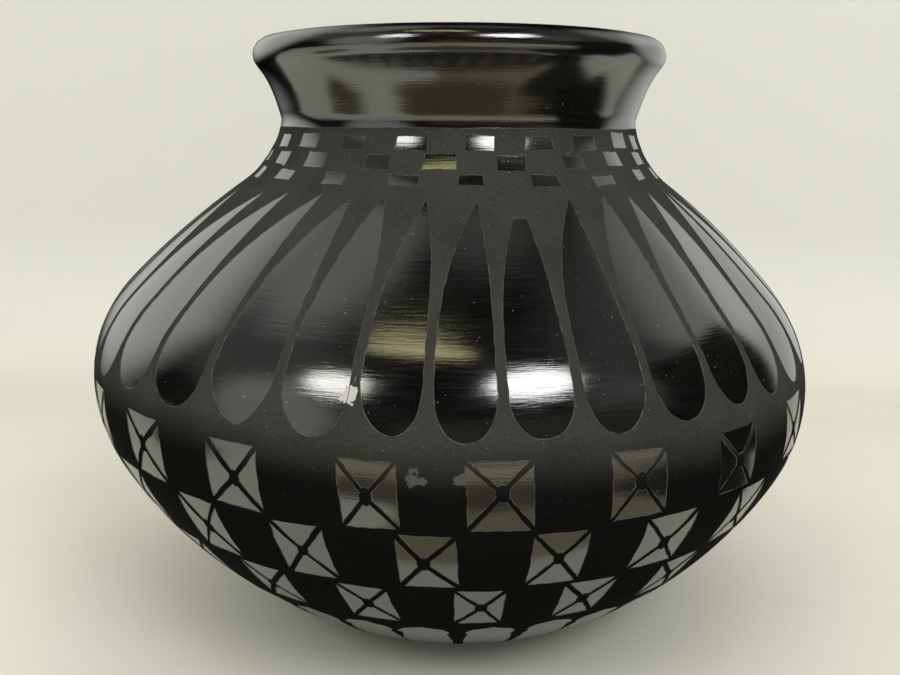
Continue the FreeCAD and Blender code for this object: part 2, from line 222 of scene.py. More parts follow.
def joined_section(runs, closed):
    """The points of runs that join end to end, with each shared point only once."""
    section = np.concatenate([runs[0][0][:1]] + [run[0][1:] for run in runs])
    return section[:-1] if closed else section


def turned(name, runs, closed, burnished_runs=1):
    """Turns a section, given as runs that join end to end, about the pot's axis.

    The first runs are the burnished outside, and the others get the piece's second material.
    """
    azimuths = np.arange(TURN_STEPS) * 360 / TURN_STEPS
    section = joined_section(runs, closed)
    first = []
    places = []
    for radius, height in section:
        first.append(sum(len(done) for done in places))
        ring = azimuths if radius > 1e-6 else azimuths[:1]
        places.append(place(ring, np.full(len(ring), radius), np.full(len(ring), height)))

    def corner(row, column):
        row %= len(section)
        return first[row] + (column % TURN_STEPS if len(places[row]) > 1 else 0)

    faces = []
    normals = []
    face_materials = []
    row = 0
    for number, (run_points, run_normals) in enumerate(runs):
        grid = [place_facing(azimuths, np.tile(p, (TURN_STEPS, 1)), np.tile(n, (TURN_STEPS, 1)))[1]
                for p, n in zip(run_points, run_normals)]
        for step in range(len(run_points) - 1):
            low, high = grid[step], grid[step + 1]
            for column in range(TURN_STEPS):
                after = (column + 1) % TURN_STEPS
                ends = [(corner(row, column), low[column]), (corner(row, after), low[after]),
                        (corner(row + 1, after), high[after]), (corner(row + 1, column), high[column])]
                kept = [end for k, end in enumerate(ends) if end[0] != ends[k - 1][0]]
                faces.append([end[0] for end in kept])
                normals.extend(end[1] for end in kept)
                face_materials.append(0 if number < burnished_runs else 1)
            row += 1
    return new_mesh(name, np.concatenate(places), faces, normals, face_materials)


def clay_ring(name, low, high):
    """A ring of clay between two heights of the profile."""
    start = profile.length_at(low)
    end = profile.length_at(high)
    outside = run_between(start, end, 0.0)
    inside = run_between(end, start, -WALL)
    if low <= 0:
        outside = run_between(0.0, end, 0.0)
        inside = run_between(end, 0.0, -WALL)
        return turned(name, [outside, straight_run(outside[0][-1], inside[0][0]), inside], False)
    top = straight_run(outside[0][-1], inside[0][0])
    bottom = straight_run(inside[0][-1], outside[0][0])
    return turned(name, [outside, top, inside, bottom], True)


def flared_rim(name, low):
    """The last ring: the flare and its rounded lip, rolled inwards by the potter's fingers."""
    start = profile.length_at(low)
    outside = run_between(start, profile.starts[-1], 0.0)
    middle = outside[0][-1] - np.array([0.0, LIP_INNER])
    turn = np.radians(np.linspace(90, 180, LIP_STEPS))
    rounded = np.stack([np.cos(turn), np.sin(turn)], axis=-1)
    lip = middle + LIP_INNER * rounded, rounded
    hollow = CENTRES[4]
    reach = ARC_RADII[4] - WALL
    seam_slope = math.asin((profile.at([start])[0][0][1] - hollow[1]) / ARC_RADII[4])
    edge_slope = -math.acos((lip[0][-1][0] - hollow[0]) / reach)
    slopes = np.linspace(edge_slope, seam_slope, HOLLOW_STEPS)
    facing = np.stack([np.cos(slopes), np.sin(slopes)], axis=-1)
    inside = hollow + reach * facing, -facing
    drop = straight_run(lip[0][-1], inside[0][0])
    seam = straight_run(inside[0][-1], outside[0][0])
    return turned(name, [outside, lip, drop, inside, seam], True, burnished_runs=3)


# ---------------------------------------------------------------- painted outlines
FULL_TURN = 360.0
SLIP_LIFT = 0.10  # mm that the slip stands proud of the clay
SLIP_BITE = 0.04  # mm that its underside sinks in
FEATHER = 0.24  # mm over which the slip thins out at the edge of a window
OUTLINE_STEP = 1.0  # mm between points of an outline
EDGE_STEP = 2.5  # mm between points of a band's edge
FILL_STEP = 3.2  # mm between points inside a band
SAME_PLACE = 1e-4  # mm within which two points of a band are one
EDGE_TURN = 0.35  # how far a thin edge's normals turn away from the surface


def spread(front, count):
    """Azimuths for a row of count places: the given ones in front, the rest evenly round."""
    gap = (FULL_TURN - front[-1] + front[0]) / (count - len(front) + 1)
    return list(front) + [front[-1] + gap * step for step in range(1, count - len(front) + 1)]


def brushed(corners, scale, wobble=0.10):
    """A closed outline, given as (azimuth, height), drawn as a brush draws it.

    Returns points (mm round, mm along the profile), close together and a little uneven.
    """
    flat = [(azimuth * scale, float(profile.length_at(height))) for azimuth, height in corners]
    points = []
    for (x, y), (next_x, next_y) in zip(flat, flat[1:] + flat[:1]):
        count = max(1, round(math.hypot(next_x - x, next_y - y) / OUTLINE_STEP))
        for step in range(count):
            points.append((x + (next_x - x) * step / count, y + (next_y - y) * step / count))
    points = np.array(points)
    shake = np.array([dice.gauss(0, 1) for _ in range(2 * len(points))]).reshape(-1, 2)
    shake = shake + np.roll(shake, 1, axis=0) + np.roll(shake, -1, axis=0)
    return points + wobble * shake


STRAY_ROUND = 0.25  # degrees and mm that the corners of a check stray
STRAY_UP = 0.22


def check(azimuth, height, wide, tall):
    """A plain check, in degrees and mm, whose corners stray a little."""
    half_wide, half_tall = wide / 2, tall / 2
    corners = []
    for side, rise in ((-1, -1), (1, -1), (1, 1), (-1, 1)):
        corners.append((azimuth + side * half_wide + dice.gauss(0, STRAY_ROUND),
                        height + rise * half_tall + dice.gauss(0, STRAY_UP)))
    return corners


# Rows of neck checks: height, tallness, width and the azimuths of those in front.
NECK_ROWS = ((155.6, 4.2, 8.2, (-61, -46, -28.5, -11.5, 6, 22.5, 37.5, 54.5, 67)),
             (150.8, 3.9, 7.6, (-56, -40, -20, -4, 14, 31.5, 47.5, 64)),
             (146.3, 3.0, 7.0, (-66, -49, -30.5, -12, 4, 22, 39.5, 57.5)))
NECK_COUNT = 22


def neck_windows(scale):
    """The small bare checks round the neck."""
    outlines = []
    for height, tall, widest, front in NECK_ROWS:
        for azimuth in spread(front, NECK_COUNT):
            wide = widest * dice.uniform(0.86, 1.06)
            middle = height + dice.gauss(0, 0.2)
            corners = check(azimuth, middle, wide, tall * dice.uniform(0.88, 1.05))
            outlines.append(brushed(corners, scale, 0.05))
    return outlines


# Petals seen from the front: azimuth of the round end, how far the tip leans from it, how wide
# the tip is as a part of the whole, and the exponent that rounds the end.
FRONT_PETALS = ((-57, 7, 0, 2), (-46.5, 5.5, 0, 2), (-36, 5.5, 0, 2), (-25.2, 2.7, 0, 1.6),
                (-15, 0, 0, 2), (-5.7, 0, 0, 2), (2.4, 2.6, 0, 2.2), (11.7, 1.5, 0.34, 2.2),
                (20.8, 5.2, 0, 2), (31, 4.6, 0, 2), (40.7, 3.2, 0, 2), (49.3, 4, 0, 2), (58.5, 5, 0, 2))
PETAL_COUNT = 39
PETAL_TOP = 142.3
PETAL_BOTTOM = 92.7
BLUNTED = 12  # mm that a fully blunt tip would end short of the others
PETAL_WIDEST = 0.76  # how far down from its tip a petal is widest
PETAL_SWELL = 3.6  # exponent: the higher, the sooner a petal widens below its tip
LEAN_CURVE = 5  # exponent: the higher, the nearer the tip a petal bends aside
PETAL_GAP = 1.1  # degrees of slip between two petals
WIDEST_REACH = 5.6  # degrees from a petal's middle to its side at most
PETAL_STEPS = 36  # points down a side, closest at the ends


def petal_width(down, tip, roundness):
    """A petal's width at a way down from its tip, as a part of its greatest width."""
    if down < PETAL_WIDEST:
        narrowing = (1 - down / PETAL_WIDEST) ** PETAL_SWELL
        return 1 - (1 - tip) * narrowing
    past = (down - PETAL_WIDEST) / (1 - PETAL_WIDEST)
    return max(0.0, 1 - past ** roundness) ** (1 / roundness)


def petal_windows(scale):
    """The long bare petals, each between its neighbours."""
    petals = list(FRONT_PETALS)
    for azimuth in spread([petal[0] for petal in FRONT_PETALS], PETAL_COUNT)[len(petals):]:
        petals.append((azimuth, dice.uniform(-3, 4), dice.choice((0, 0, 0, 0.2)), dice.uniform(1.7, 2.3)))
    outlines = []
    for index, (end, lean, tip, roundness) in enumerate(petals):
        before = petals[index - 1][0] - (FULL_TURN if index == 0 else 0)
        after = petals[(index + 1) % PETAL_COUNT][0] + (FULL_TURN if index == PETAL_COUNT - 1 else 0)
        top = PETAL_TOP - BLUNTED * tip + dice.uniform(-1.0, 0.4)
        bottom = PETAL_BOTTOM + dice.uniform(-0.9, 0.9)
        downs = [0.5 - 0.5 * math.cos(math.pi * step / PETAL_STEPS) for step in range(PETAL_STEPS + 1)]
        sides = []
        for reach in ((before - end + PETAL_GAP) / 2, (after - end - PETAL_GAP) / 2):
            reach = math.copysign(min(abs(reach), WIDEST_REACH), reach)
            side = []
            for down in downs:
                middle = end + lean * (1 - down) ** LEAN_CURVE
                width = petal_width(down, tip, roundness)
                side.append((middle + reach * width, top + (bottom - top) * down))
            sides.append(side)
        corners = sides[0] + sides[1][-2:0:-1]
        outlines.append(brushed(corners, scale, 0.03))
    return outlines


# Rows of crossed checks: height, tallness and the azimuths of those in front.
CROSSED_ROWS = ((80.0, 17.0, (-42.5, -26, -9, 6, 23, 39.5, 57)),
                (61.2, 17.8, (-34, -18.5, -2.8, 13.5, 29, 45)),
                (42.8, 15.8, (-28.5, -12.3, 4, 20, 36.5)))
CROSSED_COUNT = 22
CROSSED_WIDE = 7.6
STROKE = 1.2  # mm, the width of a painted line


def crossed_windows(scale):
    """The four bare triangles of each crossed check, with the painted dot at the crossing."""
    outlines = []
    for height, tall, front in CROSSED_ROWS:
        radius = profile.at([profile.length_at(height)])[0][0][0]
        degree = radius * math.radians(1)
        for azimuth in spread(front, CROSSED_COUNT):
            corners = check(azimuth, height, CROSSED_WIDE * dice.uniform(0.93, 1.07), tall)
            crossing = np.array([azimuth + dice.gauss(0, 0.3), height + dice.gauss(0, 0.6)])
            dot = np.array([dice.uniform(1.25, 1.75), dice.uniform(1.7, 2.5)])
            halves = [STROKE / 2 * dice.uniform(0.7, 1.2) for _ in range(2)] * 2
            for side in range(4):
                ends = (corners[side], corners[(side + 1) % 4])
                strokes = (halves[side], halves[(side + 1) % 4])
                outlines.append(crossed_triangle(ends, strokes, crossing, dot, degree, scale))
    return outlines


def crossed_triangle(ends, strokes, crossing, dot, degree, scale):
    """One bare triangle between a side of the check, two half strokes and the dot's edge."""
    to_mm = np.array([degree, 1.0])
    start, end = [(np.array(corner) - crossing) * to_mm for corner in ends]
    sides = []
    for corner, other, half in ((start, end, strokes[0]), (end, start, strokes[1])):
        along = corner / np.linalg.norm(corner)
        across = other - along * np.dot(other, along)
        across = across / np.linalg.norm(across)
        edge = (other - corner) / np.linalg.norm(other - corner)
        outer = corner + edge * half / np.dot(edge, across)
        sides.append((outer, along / np.linalg.norm(along / dot) + across * half))
    inner = []
    for part in (0.0, 0.35, 0.65, 1.0):
        point = sides[0][1] * (1 - part) + sides[1][1] * part
        inner.append(point / np.linalg.norm(point / dot))
    outline = [sides[1][0], sides[0][0]] + inner
    return brushed([tuple(crossing + point / to_mm) for point in outline], scale, 0.04)


LEAF_FRONT = (-26.5, -15.7, -5.4, 6.6, 17.8, 28)
LEAF_COUNT = 33
LEAF_GAP = 0.9  # degrees of slip between two leaves at their widest
LEAF_REACH = (31.9, 26.5, 21.0, 14.0, 8.5, 5.5, 4.0, 3.2)  # heights down a leaf
LEAF_WIDTH = (0.0, 0.86, 1.0, 0.98, 0.9, 0.74, 0.5, 0.0)  # its width at each, of the greatest
LEAF_STEPS = 30  # points down a side
LEAF_TOP = 0.12  # the part of its length over which its top is rounded
LEAF_SHOULDER = 0.95  # its width where the rounding ends, of the greatest


def leaf_windows(scale):
    """The bare leaves that run in under the pot."""
    outlines = []
    lengths = [float(profile.length_at(height)) for height in LEAF_REACH]
    fine = np.linspace(0, 1, LEAF_STEPS)
    spots = lengths[0] + (lengths[-1] - lengths[0]) * fine
    widths = np.interp(-spots, [-length for length in lengths], LEAF_WIDTH)
    rounded = np.sqrt(np.clip(1 - np.maximum(0, 1 - fine / LEAF_TOP) ** 2, 0, 1))
    widths = np.where(fine < LEAF_TOP, rounded * LEAF_SHOULDER, widths)
    heights = np.interp(spots, profile.samples, profile.heights)
    for azimuth in spread(LEAF_FRONT, LEAF_COUNT):
        half = (FULL_TURN / LEAF_COUNT - LEAF_GAP) / 2 * dice.uniform(0.94, 1.02)
        lift = dice.uniform(-0.6, 0.3)
        left = [(azimuth - half * w, z + lift) for w, z in zip(widths, heights)]
        right = [(azimuth + half * w, z + lift) for w, z in zip(widths, heights)]
        outlines.append(brushed(left + right[-2:0:-1], scale, 0.06))
    return outlines


# ---------------------------------------------------------------- bands of slip
def edge_line(height, scale, wobble):
    """The edge of a band as a nearly level line right round the pot, the same at both ends."""
    level = float(profile.length_at(height))
    span = FULL_TURN * scale
    count = round(span / EDGE_STEP)
    phases = [dice.uniform(0, 6.3) for _ in range(4)]
    line = []
    for step in range(count + 1):
        turn = 2 * math.pi * step / count
        shake = sum(math.sin((3 + 5 * k) * turn + phase) / (k + 1) for k, phase in enumerate(phases))
        line.append((-span / 2 + span * step / count, level + wobble * shake))
    return line


def within(points, loop):
    """Which points lie inside a closed loop, counting the loop's crossings to the right of each."""
    result = np.zeros(len(points), dtype=bool)
    low, high = loop.min(axis=0), loop.max(axis=0)
    near = np.flatnonzero(((points >= low) & (points <= high)).all(axis=1))
    x, y = points[near, 0][:, None], points[near, 1][:, None]
    start, end = loop, np.roll(loop, -1, axis=0)
    spans = (start[:, 1] > y) != (end[:, 1] > y)
    rise = end[:, 1] - start[:, 1]
    rise = np.where(rise == 0, 1e-12, rise)
    crossing = start[:, 0] + (y - start[:, 1]) / rise * (end[:, 0] - start[:, 0])
    result[near] = (spans & (x < crossing)).sum(axis=1) % 2 == 1
    return result


def between_seams(outline, half_span):
    """A window moved between the band's two ends, with a copy past an end that it crosses."""
    turns = round(outline[:, 0].mean() / (2 * half_span))
    outline = outline - np.array([turns * 2 * half_span, 0])
    copies = [outline]
    for side in (-1, 1):
        moved = outline + np.array([side * 2 * half_span, 0])
        if moved[:, 0].min() < half_span and moved[:, 0].max() > -half_span:
            copies.append(moved)
    return copies


def filling(border, half_span):
    """Staggered rows of points all over a band, which keep its triangles small."""
    lengths = [v for _, v in border]
    columns = round(2 * half_span / FILL_STEP)
    fill = []
    for number, v in enumerate(np.arange(min(lengths), max(lengths), FILL_STEP)):
        shift = 0.5 if number % 2 else 0.0
        fill += [(-half_span + (k + 0.25 + shift) * 2 * half_span / columns, v) for k in range(columns)]
    return fill


def slip_band(name, low, high, wobble, windows):
    """A film of slip between two heights, with bare windows: a closed solid with real edges."""
    middle_radius = profile.at([profile.length_at((low + high) / 2)])[0][0][0]
    scale = middle_radius * math.radians(1)
    half_span = FULL_TURN * scale / 2
    bottom = edge_line(low, scale, wobble[0])
    top = edge_line(high, scale, wobble[1])
    seam = np.linspace(bottom[0][1], top[0][1], 2 + int((top[0][1] - bottom[0][1]) / FILL_STEP))[1:-1]
    border = bottom + [(half_span, v) for v in seam] + top[::-1] + [(-half_span, v) for v in seam[::-1]]
    loops = [border]
    for outline in windows(scale):
        loops += between_seams(outline, half_span)
    points = []
    faces = []
    for loop in loops:
        faces.append(list(range(len(points), len(points) + len(loop))))
        points += [Vector((float(u), float(v))) for u, v in loop]
    points += [Vector((float(u), float(v))) for u, v in filling(border, half_span)]
    found = delaunay_2d_cdt(points, [], faces, 0, 1e-5)
    spots = np.array([tuple(spot) for spot in found[0]])
    triangles = np.array(found[2])
    middles = spots[triangles].mean(axis=1)
    painted = within(middles, np.array(border))
    for outline in loops[1:]:
        painted &= ~within(middles, outline)
    joined = [bottom[0][1]] * (wobble[0] == 0) + [top[0][1]] * (wobble[1] == 0)
    return film(name, spots, triangles[painted], scale, half_span, joined)


def sewn(spots, triangles, half_span):
    """The band's triangles with its two ends sewn together, point to point."""
    same = np.arange(len(spots))
    right = {round(float(v), 4): i for i, (u, v) in enumerate(spots) if abs(u - half_span) < SAME_PLACE}
    for index, (u, v) in enumerate(spots):
        if abs(u + half_span) < SAME_PLACE and round(float(v), 4) in right:
            same[index] = right[round(float(v), 4)]
    return same[triangles]


def feathered(flat, rims, half_span, joined):
    """How far, in the flat, the underside reaches past each point so that open edges thin out."""
    outward = np.zeros(flat.shape)
    for a, b in rims:
        along = flat[b] - flat[a]
        if np.hypot(*along) < half_span:
            outward[[a, b]] += np.array([along[1], -along[0]]) / max(np.hypot(*along), 1e-9)
    for level in joined:
        outward[np.abs(flat[:, 1] - level) < SAME_PLACE] = 0
    reach = np.hypot(outward[:, 0], outward[:, 1])
    return outward * (FEATHER / np.maximum(reach, 1e-9))[:, None]


def film(name, spots, triangles, scale, half_span, joined):
    """Turns flat triangles into a film on the pot, closed below and along every edge.

    Its edges thin out, in the second material, except where it meets the next band.
    """
    triangles = sewn(spots, triangles, half_span)
    used, order = np.unique(triangles, return_inverse=True)
    triangles = order.reshape(triangles.shape)
    azimuths = spots[used, 0] / scale
    section, normals = profile.at(spots[used, 1])
    above, facing = place_facing(azimuths, section + SLIP_LIFT * normals, normals)
    count = len(used)
    directed = {edge for a, b, c in triangles for edge in ((a, b), (b, c), (c, a))}
    rims = [(a, b) for a, b in directed if (b, a) not in directed]
    flat = spots[used]
    outward = feathered(flat, rims, half_span, joined)
    section, lower_normals = profile.at(flat[:, 1] + outward[:, 1])
    section = section - SLIP_BITE * lower_normals
    below = place(azimuths + outward[:, 0] / scale, section[:, 0], section[:, 1])
    faces = []
    corners = []
    for a, b, c in triangles:
        faces.append([a, b, c])
        corners += [facing[a], facing[b], facing[c]]
        faces.append([c + count, b + count, a + count])
        corners += [-facing[c], -facing[b], -facing[a]]
    face_materials = [0] * len(faces) + [1] * len(rims)
    for a, b in rims:
        out = np.cross(above[b] - above[a], facing[a])
        out = EDGE_TURN * out / max(np.linalg.norm(out), 1e-12)
        faces.append([b, a, a + count, b + count])
        corners += [out + facing[b], out + facing[a], out + facing[a], out + facing[b]]
    corners = [corner / np.linalg.norm(corner) for corner in corners]
    faces = [[int(index) for index in face] for face in faces]
    return new_mesh(name, np.concatenate([above, below]), faces, corners, face_materials)


# ---------------------------------------------------------------- materials
class Nodes:
    """A material's node tree, with short calls for the nodes that repeat."""

    def __init__(self, name):
        self.material = bpy.data.materials.new(name)
        self.material.use_nodes = True
        self.tree = self.material.node_tree
        self.shader = self.tree.nodes["Principled BSDF"]

    def add(self, kind, **values):
        node = self.tree.nodes.new(kind)
        for key, setting in values.items():
            setattr(node, key, setting)
        return node

    def link(self, output, target):
        self.tree.links.new(output, target)

    def stretched(self, scale):
        """Object coordinates multiplied by a scale for each axis, per metre."""
        coordinates = self.add("ShaderNodeTexCoord")
        mapping = self.add("ShaderNodeMapping")
        mapping.inputs["Scale"].default_value = scale
        self.link(coordinates.outputs["Object"], mapping.inputs["Vector"])
        return mapping.outputs["Vector"]

    def noise(self, scale, detail=2.0, roughness=0.5):
        """Noise whose grain is 1/scale metres along each axis."""
        texture = self.add("ShaderNodeTexNoise")
        texture.inputs["Scale"].default_value = 1.0
        texture.inputs["Detail"].default_value = detail
        texture.inputs["Roughness"].default_value = roughness
        self.link(self.stretched(scale), texture.inputs["Vector"])
        return texture.outputs["Fac"]

    def ramp(self, source, low, high, start=0.0, end=1.0, easing="LINEAR"):
        """Maps a value's range from low to high onto start to end, and holds it there."""
        node = self.add("ShaderNodeMapRange", interpolation_type=easing)
        for name, number in (("From Min", low), ("From Max", high), ("To Min", start), ("To Max", end)):
            node.inputs[name].default_value = number
        self.link(source, node.inputs["Value"])
        return node.outputs["Result"]

    def math(self, operation, first, second):
        """A sum or another operation on two values, each a number or an output."""
        node = self.add("ShaderNodeMath", operation=operation)
        for socket, value in zip(node.inputs, (first, second)):
            if isinstance(value, (int, float)):
                socket.default_value = value
            else:
                self.link(value, socket)
        return node.outputs[0]

    def mix(self, factor, first, second):
        """Mixes two colours, each a tuple or an output."""
        node = self.add("ShaderNodeMix", data_type="RGBA")
        self.link(factor, node.inputs[0])
        for socket, value in zip((node.inputs[6], node.inputs[7]), (first, second)):
            if isinstance(value, tuple):
                socket.default_value = (*value, 1)
            else:
                self.link(value, socket)
        return node.outputs[2]

    def bump(self, height, depth, below=None):
        """A bump of this depth in metres, on top of another bump if one is given."""
        node = self.add("ShaderNodeBump")
        node.inputs["Strength"].default_value = 1.0
        node.inputs["Distance"].default_value = depth
        self.link(height, node.inputs["Height"])
        if below:
            self.link(below, node.inputs["Normal"])
        return node.outputs["Normal"]


# Middle and reach, in metres, of the flake lost beside a petal and of the places where slip is worn.
FLAKE = ((-0.0240, -0.1088, 0.1019), 0.0028)
RUBS = (((-0.0095, -0.1153, 0.0843), 0.0021), ((0.0005, -0.1153, 0.0844), 0.0017))
RAW_CLAY = (0.50, 0.49, 0.46)
DUST = (0.20, 0.198, 0.18)


def ragged_spot(look, place, reach):
    """Mask of a ragged spot round a point, in metres."""
    spot = look.add("ShaderNodeVectorMath", operation="DISTANCE")
    coordinates = look.add("ShaderNodeTexCoord")
    look.link(coordinates.outputs["Object"], spot.inputs[0])
    spot.inputs[1].default_value = place
    ragged = look.ramp(look.noise((420, 420, 420), detail=3), 0.3, 0.7, -0.7 * reach, 0.7 * reach)
    edge = look.math("ADD", spot.outputs["Value"], ragged)
    return look.ramp(edge, 0.70 * reach, 0.85 * reach, 1.0, 0.0)


def burnished_clay():
    """Black fired clay rubbed to a graphite gloss with a stone, in short level strokes."""
    look = Nodes("burnished_clay")
    strokes = look.noise((100, 100, 1900), detail=4, roughness=0.66)
    broad = look.noise((45, 45, 620), detail=2)
    facets = look.noise((26, 26, 210), detail=1)
    patches = look.noise((24, 24, 50), detail=3)
    specks = look.ramp(look.noise((1500, 1500, 1500), detail=0), 0.845, 0.87)
    scuffs = look.ramp(look.noise((150, 150, 520), detail=5, roughness=0.72), 0.70, 0.82)
    tone = look.mix(look.ramp(patches, 0.35, 0.7), (0.0028, 0.0029, 0.0028), (0.0062, 0.0059, 0.0050))
    tone = look.mix(look.ramp(strokes, 0.45, 0.8), tone, (0.010, 0.0097, 0.0085))
    tone = look.mix(look.math("MULTIPLY", scuffs, 0.3), tone, (0.05, 0.048, 0.043))
    tone = look.mix(specks, tone, (0.13, 0.125, 0.11))
    flaked = ragged_spot(look, *FLAKE)
    look.link(look.mix(flaked, tone, RAW_CLAY), look.shader.inputs["Base Color"])
    dull = look.math("ADD", look.ramp(strokes, 0.3, 0.7, 0.08, 0.14), look.ramp(patches, 0.3, 0.7, 0.0, 0.04))
    dull = look.math("ADD", dull, look.math("MULTIPLY", scuffs, 0.2))
    look.link(look.math("ADD", dull, look.math("MULTIPLY", flaked, 0.6)), look.shader.inputs["Roughness"])
    wavy = look.bump(facets, 0.00003)
    wavy = look.bump(broad, 0.000012, wavy)
    look.link(look.bump(strokes, 0.000030, wavy), look.shader.inputs["Normal"])
    look.shader.inputs["IOR"].default_value = 2.25
    return look.material


def matte_slip():
    """Black slip: fine grained and dull; lighter where it faces up, partly from dust and partly from painted
    sheen.
    """
    look = Nodes("matte_slip")
    grain = look.noise((2600, 2600, 2600), detail=3, roughness=0.7)
    brush = look.noise((110, 110, 800), detail=3)
    clouds = look.noise((55, 55, 55), detail=4, roughness=0.6)
    motes = look.ramp(look.noise((2400, 2400, 2400), detail=0), 0.83, 0.86)
    rubs = look.ramp(look.noise((230, 230, 170), detail=5, roughness=0.75), 0.72, 0.82)
    geometry = look.add("ShaderNodeNewGeometry")
    facing = look.add("ShaderNodeSeparateXYZ")
    look.link(geometry.outputs["Normal"], facing.inputs["Vector"])
    # How far the slip faces up: there its tone is lighter, partly dust and partly painted sheen.
    settled = look.ramp(facing.outputs["Z"], -0.05, 0.30, easing="SMOOTHSTEP")
    dust_and_sheen = look.math("MULTIPLY", settled, look.ramp(clouds, 0.25, 0.7, 0.65, 1.0))
    dust_and_sheen = look.math("MULTIPLY", dust_and_sheen, look.ramp(grain, 0.3, 0.7, 0.6, 1.25))
    tone = look.mix(dust_and_sheen, (0.0055, 0.0055, 0.0050), (0.050, 0.050, 0.0455))
    tone = look.mix(look.math("MULTIPLY", rubs, 0.5), tone, (0.085, 0.085, 0.078))
    caught = look.math("MULTIPLY", motes, look.ramp(settled, 0, 1, 0.25, 1.0))
    tone = look.mix(caught, tone, DUST)
    for middle, reach in RUBS:
        patch_mask = look.math("MULTIPLY", ragged_spot(look, middle, reach), 0.4)
        tone = look.mix(patch_mask, tone, (0.16, 0.155, 0.14))
    tone = look.mix(ragged_spot(look, *FLAKE), tone, RAW_CLAY)
    look.link(tone, look.shader.inputs["Base Color"])
    look.link(look.ramp(brush, 0.3, 0.7, 0.44, 0.58), look.shader.inputs["Roughness"])
    brushed_bump = look.bump(brush, 0.000012)
    look.link(look.bump(grain, 0.00003, brushed_bump), look.shader.inputs["Normal"])
    look.shader.inputs["IOR"].default_value = 1.02
    return look.material


def slip_edge_painted_highlight():
    """The thin edge of the slip, greyer than the rest: a painted highlight where the edge catches light."""
    look = Nodes("slip_edge_painted_highlight")
    # Patches in the painted highlight along the edge.
    patch_mask = look.noise((700, 700, 500), detail=3)
    look.link(look.mix(look.ramp(patch_mask, 0.35, 0.6), (0.012, 0.012, 0.011), (0.075, 0.075, 0.068)),
              look.shader.inputs["Base Color"])
    look.shader.inputs["Roughness"].default_value = 0.5
    look.shader.inputs["IOR"].default_value = 1.4
    return look.material


def inner_clay():
    """The unburnished inside: dull smoke-black clay with the marks of wiping fingers."""
    look = Nodes("inner_clay")
    grain = look.noise((1400, 1400, 1400), detail=4, roughness=0.65)
    wipes = look.noise((18, 18, 170), detail=3)
    tone = look.mix(look.ramp(wipes, 0.3, 0.7), (0.020, 0.019, 0.017), (0.040, 0.038, 0.034))
    look.link(look.mix(look.ramp(grain, 0.5, 0.8), tone, (0.07, 0.067, 0.06)),
              look.shader.inputs["Base Color"])
    look.link(look.ramp(grain, 0.3, 0.7, 0.62, 0.80), look.shader.inputs["Roughness"])
    wiped = look.bump(wipes, 0.0005)
    look.link(look.bump(grain, 0.00012, wiped), look.shader.inputs["Normal"])
    return look.material


# ---------------------------------------------------------------- the pot
BURNISHED = burnished_clay()
SLIP = matte_slip()
EDGE_PAINTED_HIGHLIGHT = slip_edge_painted_highlight()
INNER = inner_clay()

FOOT_BAND_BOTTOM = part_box("foot_leaf_slip")[0].z / MM
BOWL_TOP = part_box("lower_wall")[0].z / MM
LOWER_WALL_TOP = top_of("lower_wall")
SHOULDER_TOP = top_of("shoulder_wall")
COLLAR_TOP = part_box("flared_rim")[0].z / MM
NECK_LINE = 159.3
PETAL_BAND_TOP = 143.3
CHECK_BAND_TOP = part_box("petal_slip")[0].z / MM
FOOT_BAND_TOP = 33.4


def finish_piece(piece, node, materials):
    """Gives a piece its materials, hangs it on the root body and hides the CAD node that it stands for."""
    for material in materials:
        piece.data.materials.append(material)
    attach(piece, "root")
    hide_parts(node)


def build_clay():
    """The five rings of clay, from the bottom up."""
    rings = {
        "moulded_bowl": clay_ring("burnished_bowl", 0, BOWL_TOP),
        "lower_wall": clay_ring("burnished_lower_wall", BOWL_TOP, LOWER_WALL_TOP),
        "shoulder_wall": clay_ring("burnished_shoulder", LOWER_WALL_TOP, SHOULDER_TOP),
        "neck_collar": clay_ring("burnished_neck", SHOULDER_TOP, COLLAR_TOP),
        "flared_rim": flared_rim("burnished_rim", COLLAR_TOP),
    }
    for node, piece in rings.items():
        finish_piece(piece, node, (BURNISHED, INNER))


def build_slip():
    """The four bands from the neck down. They meet on level lines, and only their outer edges wander."""
    bands = {
        "neck_check_slip": ("painted_neck_checks", PETAL_BAND_TOP, NECK_LINE, (0.0, 0.12), neck_windows),
        "petal_slip": ("painted_petals", CHECK_BAND_TOP, PETAL_BAND_TOP, (0.0, 0.0), petal_windows),
        "crossed_check_slip": (
            "painted_crossed_checks", FOOT_BAND_TOP, CHECK_BAND_TOP, (0.0, 0.0), crossed_windows),
        "foot_leaf_slip": ("painted_leaves", FOOT_BAND_BOTTOM, FOOT_BAND_TOP, (0.3, 0.0), leaf_windows),
    }
    for node, band in bands.items():
        finish_piece(slip_band(*band), node, (SLIP, EDGE_PAINTED_HIGHLIGHT))


build_clay()
build_slip()


# ---------------------------------------------------------------- studio
EYE_HEIGHT = 0.1623
EYE_DISTANCE = 0.3025
PITCH = 13.65  # degrees that the camera looks down
YAW = -0.63  # degrees that it looks past the pot's axis
ROLL = 0.57
LENS = 36.2


def make_camera():
    """The camera in front of the pot, a little above it and looking down."""
    data = bpy.data.cameras.new("camera")
    data.lens = LENS
    data.clip_start = 0.01
    camera = bpy.data.objects.new("camera", data)
    bpy.context.collection.objects.link(camera)
    pitch, yaw, roll = (math.radians(angle) for angle in (PITCH, YAW, ROLL))
    ahead = Vector((math.sin(yaw) * math.cos(pitch), math.cos(yaw) * math.cos(pitch), -math.sin(pitch)))
    right = ahead.cross(Vector((0, 0, 1))).normalized()
    up = right.cross(ahead)
    turned_right = right * math.cos(roll) + up * math.sin(roll)
    turned_up = up * math.cos(roll) - right * math.sin(roll)
    facing = Matrix((turned_right, turned_up, -ahead)).transposed().to_4x4()
    camera.matrix_world = Matrix.Translation((0, -EYE_DISTANCE, EYE_HEIGHT)) @ facing
    bpy.context.scene.camera = camera


